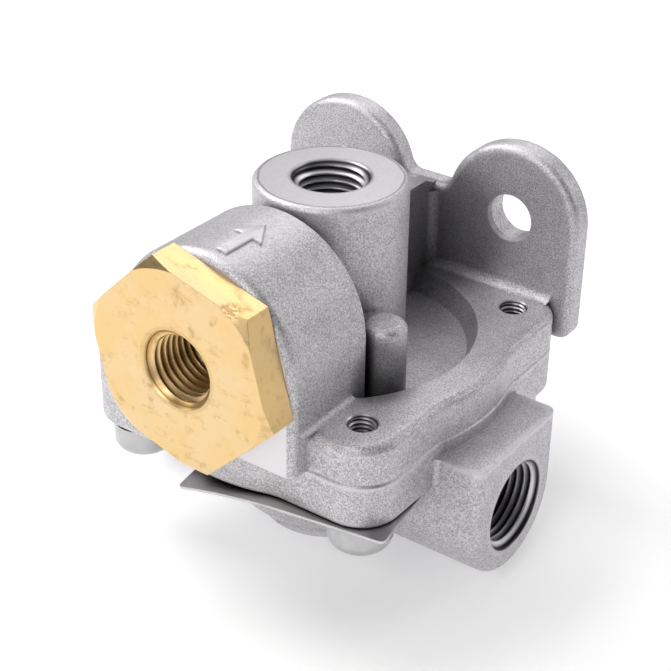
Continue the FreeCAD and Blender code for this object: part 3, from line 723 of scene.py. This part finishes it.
def wire_finish(name):
    """Drawn steel, for the spring and its seat."""
    s = settings("valve_steel")
    f = new_finish(name)
    grain = f.noise(0.3 * MM, detail=2.0)
    return f.surface(
        Base_Color=f.blend(grain, s.spring_colour, darker(s.spring_colour, 0.7)),
        Metallic=1.0,
        Roughness=0.30 + 0.15 * grain,
        Normal=f.bump(grain, s.mark_depth))


def rubber_finish(name):
    """Black moulded rubber with a dull skin."""
    s = settings("valve_inner")
    f = new_finish(name)
    grain = f.noise(0.35 * MM, detail=3.0)
    return f.surface(
        Base_Color=f.blend(grain, s.rubber_colour, s.rubber_bloom),
        Metallic=0.0,
        Roughness=0.55 + 0.2 * grain,
        Normal=f.bump(grain, depth=0.012 * MM))


def acetal_finish(name):
    """Off-white moulded plastic."""
    s = settings("valve_inner")
    f = new_finish(name)
    grain = f.noise(0.8 * MM, detail=3.0)
    return f.surface(
        Base_Color=f.blend(grain, s.acetal_colour, s.acetal_cloud),
        Metallic=0.0,
        Roughness=0.42 + 0.1 * grain,
        Normal=f.bump(grain, depth=0.01 * MM))


def turned_finish(name):
    """Turned alloy: fine rings round the shuttle's axis."""
    s = settings("valve_inner")
    f = new_finish(name)
    cloud = f.noise(3 * MM, detail=2.0)
    lines = f.noise(0.15 * MM, detail=1.0, stretch=(0.05, 1, 0.05))
    return f.surface(
        Base_Color=f.blend(cloud, s.alloy_colour, s.alloy_cloud),
        Metallic=1.0,
        Roughness=0.24 + 0.12 * cloud,
        Normal=f.bump(lines, depth=0.008 * MM))


# Shapes

def thread_ridge(name, mouth, outward, wall_radius, length, pitch, height, crest_taper=0.0):
    """The mesh of a closed helical ridge that stands inwards from a bored wall and starts on its
    countersink. Each turn has steps stations, and the ridge fades out over fade_steps of them."""
    steps = 72
    sink = 0.03 * MM
    flat = pitch * 0.09
    fade_steps = steps * 0.35
    last_share = 0.02
    inward = -outward
    side = inward.orthogonal().normalized()
    across = inward.cross(side)
    count = int(steps * (length - pitch / 2) / pitch)
    base = wall_radius + sink
    builder = bmesh.new()
    rows = []
    for i in range(count + 1):
        angle = 2 * math.pi * i / steps
        fade = min(1.0, (count - i) / fade_steps)
        middle = pitch * i / steps
        crest = wall_radius - height * max(fade, last_share) - crest_taper * middle
        direction = side * math.cos(angle) + across * math.sin(angle)
        row = []
        for radius, shift in ((base, -pitch / 2), (crest, -flat), (crest, flat), (base, pitch / 2)):
            depth = max(middle + shift, (shift / pitch + 0.5) * sink)
            countersunk = max(radius, wall_radius - depth)
            row.append(builder.verts.new(mouth + inward * depth + direction * countersunk))
        rows.append(row)
    for first, second in zip(rows, rows[1:]):
        for k in range(4):
            builder.faces.new((first[k], first[(k + 1) % 4], second[(k + 1) % 4], second[k]))
    builder.faces.new(rows[0])
    builder.faces.new(list(reversed(rows[-1])))
    bmesh.ops.recalc_face_normals(builder, faces=builder.faces)
    for face in builder.faces:
        face.smooth = False
    return built_mesh(name, builder)


def arrow_mesh(name, length, width, height, turn, middle_y, boss_radius):
    """The mesh of a raised arrow wrapped on the boss, pointing the way that supply air flows."""
    stem = width * 0.36
    head = length * 0.42
    edge_round = height * 0.45
    outline = [(-stem / 2, -length / 2), (stem / 2, -length / 2), (stem / 2, length / 2 - head),
               (width / 2, length / 2 - head), (0, length / 2), (-width / 2, length / 2 - head),
               (-stem / 2, length / 2 - head)]
    sink = 0.2 * MM
    builder = bmesh.new()
    base = builder.faces.new([builder.verts.new((u, v, 0)) for u, v in outline])
    grown = bmesh.ops.extrude_face_region(builder, geom=[base])
    top = [item for item in grown["geom"] if isinstance(item, bmesh.types.BMVert)]
    bmesh.ops.translate(builder, vec=(0, 0, height + sink), verts=top)
    rim = [edge for edge in builder.edges if all(v.co.z > sink for v in edge.verts)]
    bmesh.ops.bevel(builder, geom=rim, offset=edge_round, segments=3, affect="EDGES", profile=0.5)
    strips = 9
    for k in range(1, strips):
        place = Vector((-width / 2 + width * k / strips, 0, 0))
        everything = list(builder.verts) + list(builder.edges) + list(builder.faces)
        bmesh.ops.bisect_plane(builder, geom=everything, plane_co=place, plane_no=X_AXIS)
    bmesh.ops.recalc_face_normals(builder, faces=builder.faces)
    for vert in builder.verts:
        angle = turn + vert.co.x / boss_radius
        radius = boss_radius - sink + vert.co.z
        across, up = radius * math.sin(angle), radius * math.cos(angle)
        vert.co = Vector((across, middle_y + vert.co.y, SUPPLY_Z + up))
    for face in builder.faces:
        face.smooth = True
    return built_mesh(name, builder)


# Operators

class VALVE_OT_castings(bpy.types.Operator):
    """Finish both castings"""
    bl_idname = "valve.castings"
    bl_label = "Finish castings"

    def execute(self, context):
        dress("upper_body", cast_finish("cast_alloy_upper", upper_machined, rounding=(1.0 * MM, 0.22, 0.50)))
        dress("lower_body", cast_finish("cast_alloy_lower", lower_machined, rounding=(2.2 * MM, 0.18, 0.30)))
        return {"FINISHED"}


class VALVE_OT_brass(bpy.types.Operator):
    """Finish the supply cap nut"""
    bl_idname = "valve.brass"
    bl_label = "Finish cap nut"

    def execute(self, context):
        dress("supply_cap_nut", brass_finish("turned_brass"))
        return {"FINISHED"}


class VALVE_OT_fasteners(bpy.types.Operator):
    """Finish screws, washers and the tag plate"""
    bl_idname = "valve.fasteners"
    bl_label = "Finish fasteners"

    def execute(self, context):
        zinc = zinc_finish("bright_zinc")
        dress("cover_screws", zinc)
        dress("lock_washers", zinc)
        dress("tag_plate", sheet_finish("plain_sheet"))
        return {"FINISHED"}


class VALVE_OT_inner_pieces(bpy.types.Operator):
    """Finish the diaphragm stack, the double check and the seals"""
    bl_idname = "valve.inner_pieces"
    bl_label = "Finish inner pieces"

    def execute(self, context):
        rubber = rubber_finish("moulded_rubber")
        seals = ("cap_nut_o_ring", "body_o_ring", "diaphragm", "shuttle_seal_supply", "shuttle_seal_balance")
        for name in seals:
            dress(name, rubber)
        steel = wire_finish("spring_steel")
        add_shortening_spring("diaphragm_coil", "diaphragm_spring", "diaphragm_lift", steel)
        dress("spring_seat", steel)
        dress("shuttle_guide", acetal_finish("moulded_acetal"))
        dress("shuttle", turned_finish("turned_alloy"))
        return {"FINISHED"}


class VALVE_OT_port_threads(bpy.types.Operator):
    """Add the ridges of the pipe threads in all ports"""
    bl_idname = "valve.port_threads"
    bl_label = "Add port threads"

    def execute(self, context):
        s = settings("valve_threads")
        for port, (node_name, slot) in PORTS.items():
            mount = MOUNTS[port]
            wall = mount["dims"]["r_mm"] * MM
            length = mount["dims"]["length_mm"] * MM
            name = port + "_thread"
            ridge = thread_ridge(
                name, Vector(mount["pos_m"]), Vector(mount["axis"]), wall, length, s.pipe_pitch,
                s.pipe_height, PIPE_TAPER)
            add_piece(name, ridge, finish_of(node_name))
        return {"FINISHED"}


class VALVE_OT_tapped_threads(bpy.types.Operator):
    """Add the ridges of the screw threads in the four tapped lugs"""
    bl_idname = "valve.tapped_threads"
    bl_label = "Add tapped threads"

    def execute(self, context):
        s = settings("valve_threads")
        half = s.screw_spacing / 2
        chamfer = 0.3 * MM
        top = s.lug_top - chamfer
        screw_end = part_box("cover_screws")[1].z
        for i, (side_x, side_y) in enumerate(LUG_CORNERS):
            mouth = Vector((side_x * half, side_y * half, top))
            name = f"tapped_thread_{i + 1}"
            ridge = thread_ridge(
                name, mouth, Z_AXIS, s.screw_radius, top - screw_end, s.screw_pitch, s.screw_height)
            add_piece(name, ridge, finish_of("upper_body"))
        return {"FINISHED"}


class VALVE_OT_flow_arrow(bpy.types.Operator):
    """Add the raised flow arrow on the supply boss"""
    bl_idname = "valve.flow_arrow"
    bl_label = "Add flow arrow"

    def execute(self, context):
        s = settings("valve_mark")
        arrow = arrow_mesh("flow_arrow", s.length, s.width, s.height, s.turn, s.middle_y, s.boss_radius)
        add_piece("flow_arrow", arrow, finish_of("upper_body"))
        return {"FINISHED"}


# Studio

def add_camera(s):
    """The camera, aimed at the target from the photograph's direction."""
    target = Vector(s.target)
    level = math.cos(s.elevation)
    back = Vector((math.sin(s.azimuth) * level, -math.cos(s.azimuth) * level, math.sin(s.elevation)))
    right = Vector((math.cos(s.azimuth), math.sin(s.azimuth), 0))
    up = back.cross(right)
    turned_right = right * math.cos(s.roll) + up * math.sin(s.roll)
    turned_up = up * math.cos(s.roll) - right * math.sin(s.roll)
    data = bpy.data.cameras.new("camera")
    data.sensor_width = SENSOR_WIDTH
    data.lens = s.focal_length
    data.clip_start = NEAREST
    data.clip_end = FARTHEST
    camera = add_object("camera", data)
    axes = Matrix((turned_right, turned_up, back)).transposed().to_4x4()
    camera.matrix_world = Matrix.Translation(target + back * s.distance) @ axes
    bpy.context.scene.camera = camera


def add_softbox(name, place, width, height, power):
    """A rectangular light that faces the valve."""
    data = bpy.data.lights.new(name, "AREA")
    data.shape = "RECTANGLE"
    data.size = width
    data.size_y = height
    data.energy = power
    light = add_object(name, data)
    light.location = place
    light.rotation_euler = (LIT_POINT - Vector(place)).to_track_quat("-Z", "Y").to_euler()


def add_backdrop():
    """A world that looks white and lights the valve only dimly."""
    world = bpy.data.worlds.new("studio")
    sky = Finish(world)
    dim = sky.node("ShaderNodeBackground", sockets={"Color": WHITE, "Strength": WORLD_STRENGTH})
    pale = sky.node("ShaderNodeBackground", sockets={"Color": WHITE, "Strength": 1.0})
    seen = sky.node("ShaderNodeLightPath", output="Is Camera Ray")
    both = sky.node("ShaderNodeMixShader", sockets={0: seen, 1: dim, 2: pale})
    sky.node("ShaderNodeOutputWorld", sockets={"Surface": both})
    bpy.context.scene.world = world


def floor_finish(name, s):
    """Pale sweep that glows a little, and far away as much as the backdrop."""
    f = new_finish(name)
    grain = f.noise(3 * MM, detail=2.0)
    x, y = f.split(f.place())[:2]
    far = f.reach(x, y).ramp(s.glow_start, s.glow_full)
    return f.surface(
        Base_Color=f.blend(grain, s.floor_colour, darker(s.floor_colour, 0.985)),
        Roughness=0.75 + 0.1 * grain,
        Emission_Color=f.blend(far, (s.floor_glow,) * 3, WHITE),
        Emission_Strength=1.0)


def add_floor(s):
    """The table that the valve stands on."""
    builder = bmesh.new()
    bmesh.ops.create_grid(builder, x_segments=4, y_segments=4, size=FLOOR_REACH)
    bmesh.ops.translate(builder, vec=(0, 0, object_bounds()[0].z), verts=builder.verts)
    mesh = built_mesh("floor", builder)
    mesh.materials.append(floor_finish("studio_floor", s))
    floor = add_object("floor", mesh)
    floor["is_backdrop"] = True


class VALVE_OT_studio(bpy.types.Operator):
    """Add the floor, the soft lights and the camera"""
    bl_idname = "valve.studio"
    bl_label = "Add studio"

    def execute(self, context):
        s = settings("valve_studio")
        add_camera(s)
        for softbox in SOFTBOXES:
            add_softbox(*softbox)
        context.scene.view_settings.view_transform = "Standard"
        add_backdrop()
        add_floor(s)
        return {"FINISHED"}


OPERATORS = (
    VALVE_OT_castings,
    VALVE_OT_brass,
    VALVE_OT_fasteners,
    VALVE_OT_inner_pieces,
    VALVE_OT_port_threads,
    VALVE_OT_tapped_threads,
    VALVE_OT_flow_arrow,
    VALVE_OT_studio,
)


class VALVE_PT_panel(bpy.types.Panel):
    """Lists the steps and their settings"""
    bl_idname = "VALVE_PT_panel"
    bl_label = "Quick exhaust valve"
    bl_space_type = "VIEW_3D"
    bl_region_type = "UI"
    bl_category = "Valve"

    def draw(self, context):
        for operator in OPERATORS:
            self.layout.operator(operator.bl_idname)
        for name, group in GROUPS.items():
            box = self.layout.box()
            for setting in group.__annotations__:
                box.prop(getattr(context.scene, name), setting)


def register():
    for group in GROUPS.values():
        bpy.utils.register_class(group)
    for operator in OPERATORS:
        bpy.utils.register_class(operator)
    bpy.utils.register_class(VALVE_PT_panel)
    for name, group in GROUPS.items():
        setattr(bpy.types.Scene, name, bpy.props.PointerProperty(type=group))


def unregister():
    for name in GROUPS:
        delattr(bpy.types.Scene, name)
    bpy.utils.unregister_class(VALVE_PT_panel)
    for operator in reversed(OPERATORS):
        bpy.utils.unregister_class(operator)
    for group in reversed(list(GROUPS.values())):
        bpy.utils.unregister_class(group)


def main():
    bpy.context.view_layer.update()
    register()
    for operator in OPERATORS:
        group, step = operator.bl_idname.split(".")
        getattr(getattr(bpy.ops, group), step)()


if __name__ == "__main__":
    main()
